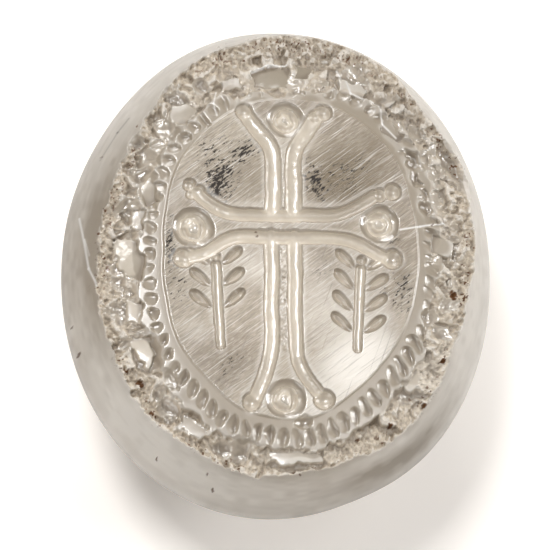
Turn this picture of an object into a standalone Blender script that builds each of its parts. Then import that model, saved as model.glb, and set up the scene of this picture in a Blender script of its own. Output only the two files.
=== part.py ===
"""Engraved rock-crystal seal stone: one polished crystal with a flat face, a domed back
and a cross cut into the face inside a pitted border.

The origin is the middle of the stone's box on the surface that it stands on. +Z runs from
the resting flat on the back up to the engraved face, +Y to the top of the design and +X to
its right. Sizes are in metres.
"""

import math
import random
from collections import namedtuple

import bmesh
import bpy
from mathutils import Matrix, Vector

TAU = 2.0 * math.pi
MM = 0.001

# The stone's body
STONE_WIDTH = 19.4 * MM
STONE_LENGTH = 22.3 * MM
STONE_DEPTH = 12.0 * MM
SHOULDER_DROP = 3.2 * MM
SHOULDER_RADIUS = 3.6 * MM
BACK_FLAT_WIDTH = 5.6 * MM
OVAL_SQUARENESS = 2.08

# The face: the worn border round the field, and the sloped band at the field's line
BORDER_SIDE = 2.50 * MM
BORDER_END = 2.40 * MM
BORDER_DROP = 0.22 * MM
FIELD_SHIFT = Vector((0.25 * MM, 0.0))
BEVEL_WIDTH = 0.55 * MM
BEVEL_DROP = 0.14 * MM

# The border's slanted pits
PIT_PITCH = 0.74 * MM
PIT_LENGTH = 0.90 * MM
PIT_WIDTH = 0.46 * MM
PIT_DEPTH = 0.22 * MM
PIT_SETBACK = 0.36 * MM
PIT_SLANT = math.radians(24.0)

# The worn band along the face's edge, and the small chips scattered over it
BAND_DIP = 0.18 * MM
BAND_CURVE = 0.85
BAND_OVERLAP = 0.15 * MM
BAND_MARGIN = 0.03 * MM
CHIP_COUNT = 44
CHIP_LENGTH = 0.80 * MM
CHIP_WIDTH = 0.60 * MM
CHIP_DEPTH = 0.20 * MM

# The cross: two rods side by side in each arm, forked at the tips
ROD_WIDTH = 0.68 * MM
ROD_DEPTH = 0.22 * MM
SHAFT_SPACING = 1.02 * MM
BEAM_SPACING = 0.97 * MM
CROSS_RISE = 1.38 * MM
CROSS_SHIFT = -0.33 * MM
BALL_WIDTH = 1.00 * MM
BALL_DEPTH = 0.34 * MM

# The drilled bowl with a ring in it, between each pair of fork ends
BOWL_WIDTH = 1.80 * MM
BOWL_DEPTH = 0.26 * MM
RING_RADIUS = 0.42 * MM
RING_LINE = 0.22 * MM
RING_DEPTH = 0.09 * MM

# The leaf sprigs in the lower quarters
LEAF_LENGTH = 1.20 * MM
LEAF_WIDTH = 0.46 * MM
LEAF_DEPTH = 0.17 * MM
LEAF_PITCH = 0.95 * MM
LEAF_ANGLE = math.radians(50.0)
STEM_WIDTH = 0.46 * MM
STEM_DEPTH = 0.17 * MM
STEM_LENGTH = 3.6 * MM
SPRIG_CLEARANCE = 0.95 * MM

# How finely the forms are divided
AROUND = 72
DOME_STEPS = 8
SHOULDER_STEPS = 3
BAR_SIDES = 6
RING_STEPS = 14
BALL_STEPS = 2
FLAKE_SIDES = 12
CHIP_SIDES = 9
PROBE_TURN = 0.02
PROBE_SHARE = 0.05

CHIP_SEED = 11

# The grinder left the outline a little flat in two places: heading, depth and half spread
Flat = namedtuple("Flat", "turn depth spread")
FLATS = (
    Flat(math.radians(137.0), 0.27 * MM, math.radians(27.0)),
    Flat(math.radians(289.0), 0.20 * MM, math.radians(14.0)),
)

# Headings in degrees, and where the worn band begins, in from the stone's widest line, and
# where it ends, in from the face's outer edge
Band = namedtuple("Band", "heading outer inner")
WORN_BAND = (
    Band(0.0, 1.09 * MM, 1.37 * MM),
    Band(15.0, 0.98 * MM, 1.27 * MM),
    Band(30.0, 0.75 * MM, 1.17 * MM),
    Band(45.0, 1.03 * MM, 0.97 * MM),
    Band(60.0, 0.60 * MM, 1.02 * MM),
    Band(75.0, 0.35 * MM, 1.57 * MM),
    Band(90.0, 0.38 * MM, 2.12 * MM),
    Band(105.0, 0.90 * MM, 1.97 * MM),
    Band(120.0, 1.05 * MM, 1.42 * MM),
    Band(135.0, 1.48 * MM, 1.32 * MM),
    Band(150.0, 1.60 * MM, 1.42 * MM),
    Band(165.0, 1.50 * MM, 1.52 * MM),
    Band(180.0, 1.41 * MM, 1.62 * MM),
    Band(195.0, 1.33 * MM, 1.57 * MM),
    Band(210.0, 1.38 * MM, 1.47 * MM),
    Band(225.0, 1.28 * MM, 1.37 * MM),
    Band(240.0, 1.38 * MM, 1.14 * MM),
    Band(255.0, 1.30 * MM, 0.99 * MM),
    Band(270.0, 1.38 * MM, 0.92 * MM),
    Band(285.0, 1.44 * MM, 0.92 * MM),
    Band(300.0, 1.38 * MM, 1.07 * MM),
    Band(315.0, 1.48 * MM, 1.27 * MM),
    Band(330.0, 1.60 * MM, 1.34 * MM),
    Band(345.0, 1.50 * MM, 1.37 * MM),
)

# The larger flakes: heading, share of the way from the band's outer line to its inner,
# half length, half width, depth, and the way that the long side points
Flake = namedtuple("Flake", "heading share half_length half_width depth lie")
FLAKES = (
    Flake(21.3, 1.00, 0.42 * MM, 0.40 * MM, 0.20 * MM, -70.0),
    Flake(26.7, 1.00, 0.50 * MM, 0.30 * MM, 0.22 * MM, -60.0),
    Flake(29.0, 0.17, 1.25 * MM, 0.42 * MM, 0.30 * MM, -62.0),
    Flake(31.8, 1.00, 0.52 * MM, 0.30 * MM, 0.22 * MM, -62.0),
    Flake(38.0, 1.00, 0.62 * MM, 0.36 * MM, 0.26 * MM, -55.0),
    Flake(51.7, 1.00, 0.50 * MM, 0.45 * MM, 0.22 * MM, -45.0),
    Flake(69.2, 0.35, 0.45 * MM, 0.34 * MM, 0.20 * MM, -30.0),
    Flake(69.3, 0.71, 0.85 * MM, 0.62 * MM, 0.34 * MM, -30.0),
    Flake(90.7, 0.74, 1.35 * MM, 0.92 * MM, 0.34 * MM, 3.0),
    Flake(115.8, 0.50, 0.48 * MM, 0.36 * MM, 0.22 * MM, 30.0),
    Flake(126.0, 0.76, 0.75 * MM, 0.60 * MM, 0.30 * MM, 40.0),
    Flake(142.9, 0.13, 0.50 * MM, 0.40 * MM, 0.24 * MM, 45.0),
    Flake(150.3, 0.67, 0.55 * MM, 0.42 * MM, 0.24 * MM, 60.0),
    Flake(164.7, 0.70, 0.50 * MM, 0.42 * MM, 0.20 * MM, 80.0),
    Flake(185.5, 0.77, 0.62 * MM, 0.50 * MM, 0.16 * MM, 90.0),
    Flake(199.6, 0.40, 0.50 * MM, 0.60 * MM, 0.20 * MM, 90.0),
    Flake(216.3, 0.83, 0.95 * MM, 0.75 * MM, 0.30 * MM, 110.0),
    Flake(233.5, 0.53, 0.65 * MM, 0.45 * MM, 0.22 * MM, -45.0),
    Flake(253.0, 0.68, 0.60 * MM, 0.42 * MM, 0.20 * MM, -20.0),
    Flake(273.2, 0.62, 1.25 * MM, 0.36 * MM, 0.16 * MM, 0.0),
)

# heading, distance between the rods, margin left at the field's edge, length of the fork,
# and how far each ball stands from the arm's middle line, to the left and to the right
# looking outwards
Arm = namedtuple("Arm", "heading spacing margin fork left right")
ARMS = (
    Arm(90.0, SHAFT_SPACING, 0.50 * MM, 1.45 * MM, 1.72 * MM, 1.72 * MM),
    Arm(270.0, SHAFT_SPACING, 0.65 * MM, 2.00 * MM, 1.80 * MM, 1.40 * MM),
    Arm(180.0, BEAM_SPACING, 1.10 * MM, 1.80 * MM, 1.68 * MM, 1.50 * MM),
    Arm(0.0, BEAM_SPACING, 1.05 * MM, 2.30 * MM, 1.62 * MM, 1.42 * MM),
)


def clear_scene():
    """Removes what the file opened with."""
    for obj in list(bpy.data.objects):
        bpy.data.objects.remove(obj, do_unlink=True)


def quartz():
    """Clear, faintly warm rock crystal."""
    material = bpy.data.materials.new("rock_crystal")
    material.use_nodes = True
    shader = material.node_tree.nodes["Principled BSDF"]
    shader.inputs["Base Color"].default_value = (0.80, 0.76, 0.70, 1.0)
    shader.inputs["Roughness"].default_value = 0.22
    shader.inputs["Metallic"].default_value = 0.0
    shader.inputs["IOR"].default_value = 1.544
    shader.inputs["Transmission Weight"].default_value = 0.6
    return material


def mesh_object(name, bm):
    """Turns a bmesh into a smooth-shaded object with its normals out."""
    bmesh.ops.recalc_face_normals(bm, faces=bm.faces)
    mesh = bpy.data.meshes.new(name)
    bm.to_mesh(mesh)
    bm.free()
    mesh.shade_smooth()
    mesh.set_sharp_from_angle(angle=math.radians(32.0))
    obj = bpy.data.objects.new(name, mesh)
    bpy.context.scene.collection.objects.link(obj)
    return obj


def oval_point(half_width, half_length, turn):
    """A point at a polar angle on a very slightly squared oval."""
    across = abs(math.cos(turn)) / half_width
    along = abs(math.sin(turn)) / half_length
    power = OVAL_SQUARENESS
    radius = (across**power + along**power) ** (-1.0 / power)
    return Vector((radius * math.cos(turn), radius * math.sin(turn)))


def swell(turn, feature):
    """A feature's depth at a heading, full at its middle and fading to both sides."""
    away = (turn - feature.turn + math.pi) % TAU - math.pi
    return feature.depth * math.exp(-((away / feature.spread) ** 2))


def ground_point(half_width, half_length, turn):
    """A point of the stone's own outline, which is an oval with slight flats."""
    point = oval_point(half_width, half_length, turn)
    share = half_width / (STONE_WIDTH / 2.0)
    cut_back = share * sum(swell(turn, flat) for flat in FLATS)
    return point * (1.0 - cut_back / point.length)


def oval_length(half_width, half_length):
    """The way round an oval, by Ramanujan's formula."""
    total = half_width + half_length
    mixed = (3.0 * half_width + half_length) * (half_width + 3.0 * half_length)
    return math.pi * (3.0 * total - math.sqrt(mixed))


def level_ring(bm, outline, half_width, half_length, height):
    """One closed ring of vertices at a height, on a given kind of outline."""
    ring = []
    for step in range(AROUND):
        point = outline(half_width, half_length, TAU * step / AROUND)
        ring.append(bm.verts.new((point.x, point.y, height)))
    return ring


def field_point(half_width, half_length, turn):
    """A point of an oval round the middle of the field."""
    return oval_point(half_width, half_length, turn) + FIELD_SHIFT


def bridge(bm, lower, upper):
    """Quads between two rings with the same number of vertices."""
    count = len(lower)
    for step in range(count):
        after = (step + 1) % count
        bm.faces.new((lower[step], lower[after], upper[after], upper[step]))


def girdle_height():
    """The height of the stone's widest line above the surface that it stands on."""
    return STONE_DEPTH - SHOULDER_DROP


def shoulder_inset(height):
    """How far the shoulder has drawn in from the widest line at a height above it."""
    rise = height - girdle_height()
    return SHOULDER_RADIUS - math.sqrt(SHOULDER_RADIUS**2 - rise**2)


def shoulder_height(inset):
    """The shoulder's height where it has drawn in this far from the widest line."""
    return girdle_height() + math.sqrt(SHOULDER_RADIUS**2 - (SHOULDER_RADIUS - inset) ** 2)


def edge_inset():
    """How far the face's outer edge stands inside the widest line."""
    return shoulder_inset(STONE_DEPTH - BORDER_DROP)


def field_half():
    """Half the flat field's width and length: what the worn border leaves of the face."""
    half_width = STONE_WIDTH / 2.0 - edge_inset() - BORDER_SIDE
    half_length = STONE_LENGTH / 2.0 - edge_inset() - BORDER_END
    return Vector((half_width, half_length))


def dome_rings(bm):
    """The back: part of an ellipsoid, from the resting flat to the widest line."""
    start = math.asin(BACK_FLAT_WIDTH / STONE_WIDTH)
    reach = girdle_height() / math.cos(start)
    rings = []
    for step in range(DOME_STEPS + 1):
        turn = start + (math.pi / 2.0 - start) * step / DOME_STEPS
        height = girdle_height() - reach * math.cos(turn)
        share = math.sin(turn)
        half_width = share * STONE_WIDTH / 2.0
        half_length = share * STONE_LENGTH / 2.0
        ring = level_ring(bm, ground_point, half_width, half_length, max(height, 0.0))
        rings.append(ring)
    return rings


def shoulder_rings(bm):
    """The rounded shoulder, from above the widest line up to the border's outer edge."""
    rise = SHOULDER_DROP - BORDER_DROP
    top = math.asin(rise / SHOULDER_RADIUS)
    rings = []
    for step in range(1, SHOULDER_STEPS + 1):
        turn = top * step / SHOULDER_STEPS
        height = girdle_height() + SHOULDER_RADIUS * math.sin(turn)
        inset = SHOULDER_RADIUS * (1.0 - math.cos(turn))
        half_width = STONE_WIDTH / 2.0 - inset
        half_length = STONE_LENGTH / 2.0 - inset
        rings.append(level_ring(bm, ground_point, half_width, half_length, height))
    return rings


def face_rings(bm):
    """The foot of the sloped band, and the line where the flat field begins."""
    half = field_half()
    foot_half = half + Vector((BEVEL_WIDTH, BEVEL_WIDTH))
    foot = level_ring(bm, field_point, *foot_half, STONE_DEPTH - BEVEL_DROP)
    line = level_ring(bm, field_point, *half, STONE_DEPTH)
    return [foot, line]


def stone_body():
    """The polished stone before it was engraved and worn."""
    bm = bmesh.new()
    rings = dome_rings(bm) + shoulder_rings(bm) + face_rings(bm)
    for lower, upper in zip(rings, rings[1:]):
        bridge(bm, lower, upper)
    bm.faces.new(rings[0])
    bm.faces.new(rings[-1])
    return mesh_object("seal_stone", bm)


def add_ball(bm, place):
    """A ball of radius 1 put through a matrix that gives its size and place."""
    bmesh.ops.create_icosphere(bm, subdivisions=BALL_STEPS, radius=1.0, matrix=place)


def wheel_radius(width, depth):
    """The radius of a round cut that is this wide at the face and this deep."""
    return ((width / 2.0) ** 2 + depth**2) / (2.0 * depth)


def dimple(bm, centre, width, depth):
    """A round drilled hollow in the field."""
    radius = wheel_radius(width, depth)
    height = STONE_DEPTH - depth + radius
    place = Matrix.Translation((centre.x, centre.y, height)) @ Matrix.Scale(radius, 4)
    add_ball(bm, place)


def round_bar(bm, stations, heading):
    """A closed straight bar through stations, each a middle point and a radius."""
    side = Vector((-math.sin(heading), math.cos(heading), 0.0))
    rings = []
    for middle, radius in stations:
        ring = []
        for step in range(BAR_SIDES):
            turn = TAU * step / BAR_SIDES
            out = side * math.cos(turn) + Vector((0.0, 0.0, math.sin(turn)))
            ring.append(bm.verts.new(middle + out * radius))
        rings.append(ring)
    for lower, upper in zip(rings, rings[1:]):
        bridge(bm, lower, upper)
    bm.faces.new(rings[0])
    bm.faces.new(rings[-1])


def groove(bm, start, end, width, depth):
    """A straight round-bottomed cut in the field with rounded ends."""
    radius = wheel_radius(width, depth)
    level = Vector((0.0, 0.0, STONE_DEPTH - depth + radius))
    along = (end - start).normalized()
    stations = []
    for point, out, share in (
        (start, -0.85, 0.40),
        (start, -0.50, 0.82),
        (start, 0.0, 1.0),
        (end, 0.0, 1.0),
        (end, 0.50, 0.82),
        (end, 0.85, 0.40),
    ):
        middle = (point + along * radius * out).to_3d() + level
        stations.append((middle, radius * share))
    round_bar(bm, stations, math.atan2(along.y, along.x))


def boat_cut(bm, middle, heading, length, width, depth):
    """A short wheel cut below a point of the surface, tapered to both ends."""
    radius = wheel_radius(width, depth)
    along = Vector((math.cos(heading), math.sin(heading), 0.0))
    lift = Vector((0.0, 0.0, radius - depth))
    stations = []
    for place, share in ((-0.5, 0.42), (-0.2, 0.95), (0.2, 0.95), (0.5, 0.42)):
        stations.append((middle + along * length * place + lift, radius * share))
    round_bar(bm, stations, heading)


def drilled_bowl(bm, centre):
    """A wide shallow bowl with a fine ring cut into it by a tube drill."""
    dimple(bm, centre, BOWL_WIDTH, BOWL_DEPTH)
    bowl_radius = wheel_radius(BOWL_WIDTH, BOWL_DEPTH)
    bowl_floor = bowl_radius - math.sqrt(bowl_radius**2 - RING_RADIUS**2)
    radius = wheel_radius(RING_LINE, RING_DEPTH)
    height = STONE_DEPTH - BOWL_DEPTH + bowl_floor - RING_DEPTH + radius
    loops = []
    for step in range(RING_STEPS):
        turn = TAU * step / RING_STEPS
        out = Vector((math.cos(turn), math.sin(turn), 0.0))
        middle = Vector((centre.x, centre.y, height)) + out * RING_RADIUS
        loop = []
        for side in range(BAR_SIDES):
            lean = TAU * side / BAR_SIDES
            offset = out * math.cos(lean) + Vector((0.0, 0.0, math.sin(lean)))
            loop.append(bm.verts.new(middle + offset * radius))
        loops.append(loop)
    for step, loop in enumerate(loops):
        bridge(bm, loop, loops[(step + 1) % RING_STEPS])


def leaf(bm, base, direction):
    """A boat-shaped wheel cut that points away from its stem."""
    middle = (base + direction.normalized() * LEAF_LENGTH / 2.0).to_3d()
    middle.z = STONE_DEPTH
    heading = math.atan2(direction.y, direction.x)
    boat_cut(bm, middle, heading, LEAF_LENGTH, LEAF_WIDTH, LEAF_DEPTH)


def sprig(bm, foot, head, pairs):
    """A stem with pairs of leaves and a bud at its head."""
    up = (head - foot).normalized()
    groove(bm, foot, head, STEM_WIDTH, STEM_DEPTH)
    dimple(bm, head + up * LEAF_WIDTH, LEAF_WIDTH, LEAF_DEPTH)
    for pair in range(pairs):
        base = head - up * LEAF_PITCH * (pair + 0.25)
        for side in (-1.0, 1.0):
            way = up.copy()
            way.rotate(Matrix.Rotation(side * LEAF_ANGLE, 2))
            leaf(bm, base + way * STEM_WIDTH, way)


def cross_middle():
    """The crossing of the four arms."""
    return FIELD_SHIFT + Vector((CROSS_SHIFT, CROSS_RISE))


def arm_reach(arm):
    """How far an arm's fork ends stand from the crossing."""
    out = Vector((math.cos(math.radians(arm.heading)), math.sin(math.radians(arm.heading))))
    half = field_half()
    edge = abs(out.x) * half.x + abs(out.y) * half.y
    offset = Vector((CROSS_SHIFT, CROSS_RISE)).dot(out)
    return edge - offset - arm.margin


def cut_arm(bm, arm):
    """Two rods from the crossing, each bent out to a ball, with a ring between them."""
    turn = math.radians(arm.heading)
    out = Vector((math.cos(turn), math.sin(turn)))
    left = Vector((-out.y, out.x))
    middle = cross_middle()
    reach = arm_reach(arm)
    for side, spread in ((1.0, arm.left), (-1.0, arm.right)):
        rail = middle + left * side * arm.spacing / 2.0
        start = rail + out * arm.spacing / 2.0
        bend = rail + out * (reach - arm.fork)
        ball = middle + left * side * spread + out * reach
        groove(bm, start, bend, ROD_WIDTH, ROD_DEPTH)
        groove(bm, bend, ball, ROD_WIDTH, ROD_DEPTH)
        dimple(bm, ball, BALL_WIDTH, BALL_DEPTH)
    drilled_bowl(bm, middle + out * (reach - RING_RADIUS / 2.0))


def crossing(bm):
    """The short cuts that close the cross where its arms meet."""
    middle = cross_middle()
    reach = Vector((SHAFT_SPACING / 2.0, 0.0))
    for side in (-1.0, 1.0):
        level = middle + Vector((0.0, side * BEAM_SPACING / 2.0))
        groove(bm, level - reach, level + reach, ROD_WIDTH, ROD_DEPTH)


def sprigs(bm):
    """One leaf sprig in each lower quarter, midway between the shaft and the field's line."""
    middle = cross_middle()
    top = middle.y - BEAM_SPACING / 2.0 - ROD_WIDTH - SPRIG_CLEARANCE
    shaft_side = (SHAFT_SPACING + ROD_WIDTH) / 2.0
    field_side = field_half().x
    for side, pairs in ((-1.0, 3), (1.0, 4)):
        column = middle.x + side * (shaft_side + field_side) / 2.0
        foot = Vector((column - side * STEM_WIDTH / 2.0, top - STEM_LENGTH))
        sprig(bm, foot, Vector((column, top)), pairs)


def engraving(bm):
    """Everything that the wheel and the drill cut into the field."""
    for arm in ARMS:
        cut_arm(bm, arm)
    crossing(bm)
    sprigs(bm)


def border_pits(bm):
    """Slanted hollows in a row round the sloped band."""
    middle_line = PIT_SETBACK + PIT_LENGTH / 2.0
    half_width = field_half().x + middle_line
    half_length = field_half().y + middle_line
    count = round(oval_length(half_width, half_length) / PIT_PITCH)
    level = STONE_DEPTH - (BEVEL_DROP + BORDER_DROP) / 2.0
    for number in range(count):
        turn = TAU * number / count
        point = field_point(half_width, half_length, turn)
        out = math.atan2(math.sin(turn) / half_length, math.cos(turn) / half_width)
        middle = Vector((point.x, point.y, level))
        boat_cut(bm, middle, out + PIT_SLANT, PIT_LENGTH, PIT_WIDTH, PIT_DEPTH)


def band_limits(turn):
    """Where the worn band begins and ends at a heading, in from the widest line."""
    step = math.degrees(turn) % 360.0 / 360.0 * len(WORN_BAND)
    before = WORN_BAND[int(step) % len(WORN_BAND)]
    after = WORN_BAND[(int(step) + 1) % len(WORN_BAND)]
    share = step - int(step)
    outer = before.outer + (after.outer - before.outer) * share
    inner = before.inner + (after.inner - before.inner) * share
    return min(outer, edge_inset() - BAND_MARGIN), edge_inset() + inner


def band_point(turn, share):
    """A point of the worn band, at a share of the way from its outer line to its inner."""
    outer, inner = band_limits(turn)
    inset = outer + (inner - outer) * share
    low = shoulder_height(outer)
    high = STONE_DEPTH - BORDER_DROP
    height = low + (high - low) * share**BAND_CURVE - BAND_DIP * math.sin(math.pi * share)
    point = ground_point(STONE_WIDTH / 2.0 - inset, STONE_LENGTH / 2.0 - inset, turn)
    return Vector((point.x, point.y, height))


def worn_band(bm):
    """A ring whose underside is the worn band and whose other sides lie clear of the stone."""
    top = STONE_DEPTH + BAND_OVERLAP
    loops = []
    for step in range(AROUND):
        turn = TAU * step / AROUND
        outer, inner = band_limits(turn)
        clear = outer - BAND_OVERLAP
        edge = ground_point(STONE_WIDTH / 2.0 - clear, STONE_LENGTH / 2.0 - clear, turn)
        inside = band_point(turn, 1.0)
        profile = [Vector((edge.x, edge.y, shoulder_height(outer)))]
        profile += [band_point(turn, share) for share in (0.3, 0.65)]
        profile += [inside, Vector((inside.x, inside.y, top)), Vector((edge.x, edge.y, top))]
        loops.append([bm.verts.new(point) for point in profile])
    for step, loop in enumerate(loops):
        bridge(bm, loop, loops[(step + 1) % AROUND])


def flake_cut(bm, spot, sides):
    """A shell-shaped bite that lies flush with the band's slope."""
    turn = math.radians(spot.heading)
    middle = band_point(turn, spot.share)
    before, after = turn - PROBE_TURN, turn + PROBE_TURN
    along = band_point(after, spot.share) - band_point(before, spot.share)
    low, high = spot.share - PROBE_SHARE, spot.share + PROBE_SHARE
    across = band_point(turn, high) - band_point(turn, low)
    up = along.cross(across).normalized()
    lie = math.radians(spot.lie)
    lengthways = Vector((math.cos(lie), math.sin(lie), 0.0))
    lengthways = (lengthways - up * lengthways.dot(up)).normalized()
    sideways = up.cross(lengthways)
    # The ball's middle stands half the ball's height above the band, so it is wider there
    spread = 1.0 / math.sqrt(0.75)
    size = (spot.half_length * spread, spot.half_width * spread, spot.depth * 2.0, 1.0)
    facing = Matrix((lengthways, sideways, up)).transposed().to_4x4()
    place = Matrix.Translation(middle + up * spot.depth) @ facing @ Matrix.Diagonal(size)
    steps = sides // 4 * 2
    bmesh.ops.create_uvsphere(bm, u_segments=sides, v_segments=steps, radius=1.0, matrix=place)


def large_flakes(bm):
    """The flakes that stand out along the band."""
    for spot in FLAKES:
        flake_cut(bm, spot, FLAKE_SIDES)


def small_chips(bm):
    """Chips of mixed size scattered over the band."""
    dice = random.Random(CHIP_SEED)
    for number in range(CHIP_COUNT):
        heading = 360.0 * (number + dice.uniform(-0.4, 0.4)) / CHIP_COUNT
        share = dice.uniform(0.12, 0.88)
        size = dice.uniform(0.7, 1.3)
        half = (CHIP_LENGTH / 2.0 * size, CHIP_WIDTH / 2.0 * size)
        chip = Flake(heading, share, *half, CHIP_DEPTH * size, dice.uniform(0.0, 180.0))
        flake_cut(bm, chip, CHIP_SIDES)


def all_cuts():
    """The wear and the engraving as one cutter, because its shells cross each other."""
    bm = bmesh.new()
    worn_band(bm)
    large_flakes(bm)
    small_chips(bm)
    border_pits(bm)
    engraving(bm)
    return mesh_object("wear_and_engraving", bm)


def cut(stone, cutter):
    """Takes a cutter's volume out of the stone."""
    cutter.hide_render = True
    cutter.display_type = "WIRE"
    modifier = stone.modifiers.new(cutter.name, "BOOLEAN")
    modifier.operation = "DIFFERENCE"
    modifier.solver = "EXACT"
    modifier.object = cutter
    modifier.use_self = True


def build():
    """The whole object is one crystal, so it is one solid."""
    clear_scene()
    stone = stone_body()
    stone.data.materials.append(quartz())
    cut(stone, all_cuts())


build()
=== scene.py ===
"""Looks of the engraved rock-crystal seal stone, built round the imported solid.

Shapes are worked out in millimetres on the stone's own axes and written in metres.
"""
import math

import bpy
import numpy as np
from mathutils import Matrix, Vector

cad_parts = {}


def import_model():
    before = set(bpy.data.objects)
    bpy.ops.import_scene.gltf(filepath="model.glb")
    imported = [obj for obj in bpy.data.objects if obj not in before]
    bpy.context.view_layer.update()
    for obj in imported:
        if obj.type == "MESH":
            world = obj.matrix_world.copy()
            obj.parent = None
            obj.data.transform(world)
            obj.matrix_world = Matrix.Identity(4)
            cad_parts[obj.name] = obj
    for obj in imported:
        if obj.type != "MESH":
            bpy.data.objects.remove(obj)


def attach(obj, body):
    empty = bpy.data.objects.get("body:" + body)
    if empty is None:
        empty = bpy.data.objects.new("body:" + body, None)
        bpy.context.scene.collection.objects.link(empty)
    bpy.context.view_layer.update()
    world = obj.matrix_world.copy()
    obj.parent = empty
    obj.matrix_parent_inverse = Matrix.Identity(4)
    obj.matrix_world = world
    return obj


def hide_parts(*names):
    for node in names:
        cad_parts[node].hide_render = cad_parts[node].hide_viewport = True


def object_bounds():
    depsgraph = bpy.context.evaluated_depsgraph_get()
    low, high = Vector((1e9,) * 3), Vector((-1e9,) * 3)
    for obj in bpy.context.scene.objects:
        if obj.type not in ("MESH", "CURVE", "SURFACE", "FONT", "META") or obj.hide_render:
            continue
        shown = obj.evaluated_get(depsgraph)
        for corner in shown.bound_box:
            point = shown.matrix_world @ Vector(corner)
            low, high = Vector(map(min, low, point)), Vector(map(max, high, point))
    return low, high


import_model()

cad_low, cad_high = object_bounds()

MM = 0.001
TAU = 2.0 * math.pi

# The stone's body, as in the solid
WIDTH = 19.4
LENGTH = 22.3
DEPTH = 12.0
SHOULDER_DROP = 3.2
SHOULDER_RADIUS = 3.6
BACK_FLAT_WIDTH = 5.6
SQUARENESS = 2.08
BORDER_DROP = 0.22
FIELD_CROWN = 0.05
GIRDLE = DEPTH - SHOULDER_DROP
FLATS = ((137.0, 0.27, 27.0), (289.0, 0.2, 14.0))

# The mesh: cells across the face, the share of them that the flat face takes, dome rings
CELLS = 520
FACE_SHARE = 0.8
DOME_RINGS = 26

# The worn band: least drop below the face at its outer line, sag at its middle, step all along
WORN_RIM_DROP = 0.24
WORN_SAG = 0.16
WORN_STEP = 0.05

# The most that is kept of the distance outside the field's line
FAR_OUT = 4.0
# Cut depth that counts as the full one, and relief that counts as fully hollow
FULL_CUT = 0.27
FULL_HOLLOW = 0.06


def smoothstep(low, high, value):
    """From 0 at low to 1 at high, smoothly, and held beyond; low may be the larger."""
    t = np.clip((value - low) / (high - low), 0.0, 1.0)
    return t * t * (3.0 - 2.0 * t)


def bell(value, middle, spread):
    """1 at the middle, falling off on either side of it."""
    return np.exp(-(((value - middle) / spread) ** 2))


def turned(dx, dy, heading):
    """Offsets read along and across a heading."""
    c, s = math.cos(heading), math.sin(heading)
    return dx * c + dy * s, -dx * s + dy * c


def noise(x, y, cell, seed):
    """Smooth noise from -1 to 1 with one lattice point per cell."""
    size = 128
    table = np.random.default_rng(seed).uniform(-1.0, 1.0, (size, size))
    u, v = x / cell + 37.3, y / cell + 51.7
    i, j = np.floor(u).astype(int), np.floor(v).astype(int)
    s, t = u - i, v - j
    s, t = s * s * s * (s * (6 * s - 15) + 10), t * t * t * (t * (6 * t - 15) + 10)
    a, b = table[i % size, j % size], table[(i + 1) % size, j % size]
    c, d = table[i % size, (j + 1) % size], table[(i + 1) % size, (j + 1) % size]
    return (a * (1 - s) + b * s) * (1 - t) + (c * (1 - s) + d * s) * t


def wandering(x, y, *waves):
    """Points moved about by noise: each wave has a reach, a cell size and seeds for x and y."""
    new_x, new_y = x, y
    for reach, cell, seed_x, seed_y in waves:
        new_x = new_x + reach * noise(x, y, cell, seed_x)
        new_y = new_y + reach * noise(x, y, cell, seed_y)
    return new_x, new_y


def facets(x, y, cell, seed, tilt, step):
    """Broken-glass relief: each cell is a small plane with its own tilt and height."""
    size = 64
    dice = np.random.default_rng(seed)
    off_x, off_y = dice.uniform(0, 1, (size, size)), dice.uniform(0, 1, (size, size))
    lean_x, lean_y = dice.normal(0, tilt, (size, size)), dice.normal(0, tilt, (size, size))
    level = dice.uniform(-step, step, (size, size))
    u, v = x / cell + 20.0, y / cell + 20.0
    i, j = np.floor(u).astype(int), np.floor(v).astype(int)
    best = np.full(x.shape, 9.0)
    height = np.zeros(x.shape)
    for di in (-1, 0, 1):
        for dj in (-1, 0, 1):
            a, b = (i + di) % size, (j + dj) % size
            dx, dy = u - (i + di + off_x[a, b]), v - (j + dj + off_y[a, b])
            away = dx * dx + dy * dy
            near = away < best
            plane = (lean_x[a, b] * dx + lean_y[a, b] * dy) * cell + level[a, b]
            height = np.where(near, plane, height)
            best = np.where(near, away, best)
    return height


def oval_radius(half_width, half_length, turn):
    """Radius at a heading of an oval that is slightly squarer than an ellipse."""
    across = np.abs(np.cos(turn)) / half_width
    along = np.abs(np.sin(turn)) / half_length
    return (across**SQUARENESS + along**SQUARENESS) ** (-1.0 / SQUARENESS)


def outline_radius(inset, turn):
    """The stone's outline drawn in by inset, with the two slight flats."""
    half_width = WIDTH / 2.0 - inset
    share = half_width / (WIDTH / 2.0)
    cut_back = 0.0
    for heading, depth, spread in FLATS:
        away = (np.degrees(turn) - heading + 180.0) % 360.0 - 180.0
        cut_back = cut_back + depth * bell(away, 0.0, spread)
    return oval_radius(half_width, LENGTH / 2.0 - inset, turn) - share * cut_back


def shoulder_height(inset):
    """Height of the rounded shoulder at a distance in from the widest line."""
    short = SHOULDER_RADIUS - np.clip(inset, 0.0, SHOULDER_RADIUS)
    return GIRDLE + np.sqrt(SHOULDER_RADIUS**2 - short**2)


# Where the shoulder meets the face: how far above the widest line and in from it
EDGE_RISE = SHOULDER_DROP - BORDER_DROP
EDGE_INSET = SHOULDER_RADIUS - math.sqrt(SHOULDER_RADIUS**2 - EDGE_RISE**2)


def round_table(table, turn):
    """A value given at headings in degrees, read smoothly at any heading."""
    headings, values = np.array(table, float).T
    headings, values = np.append(headings, 360.0 + headings[0]), np.append(values, values[0])
    return np.interp(np.degrees(turn) % 360.0, headings, values)


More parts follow.
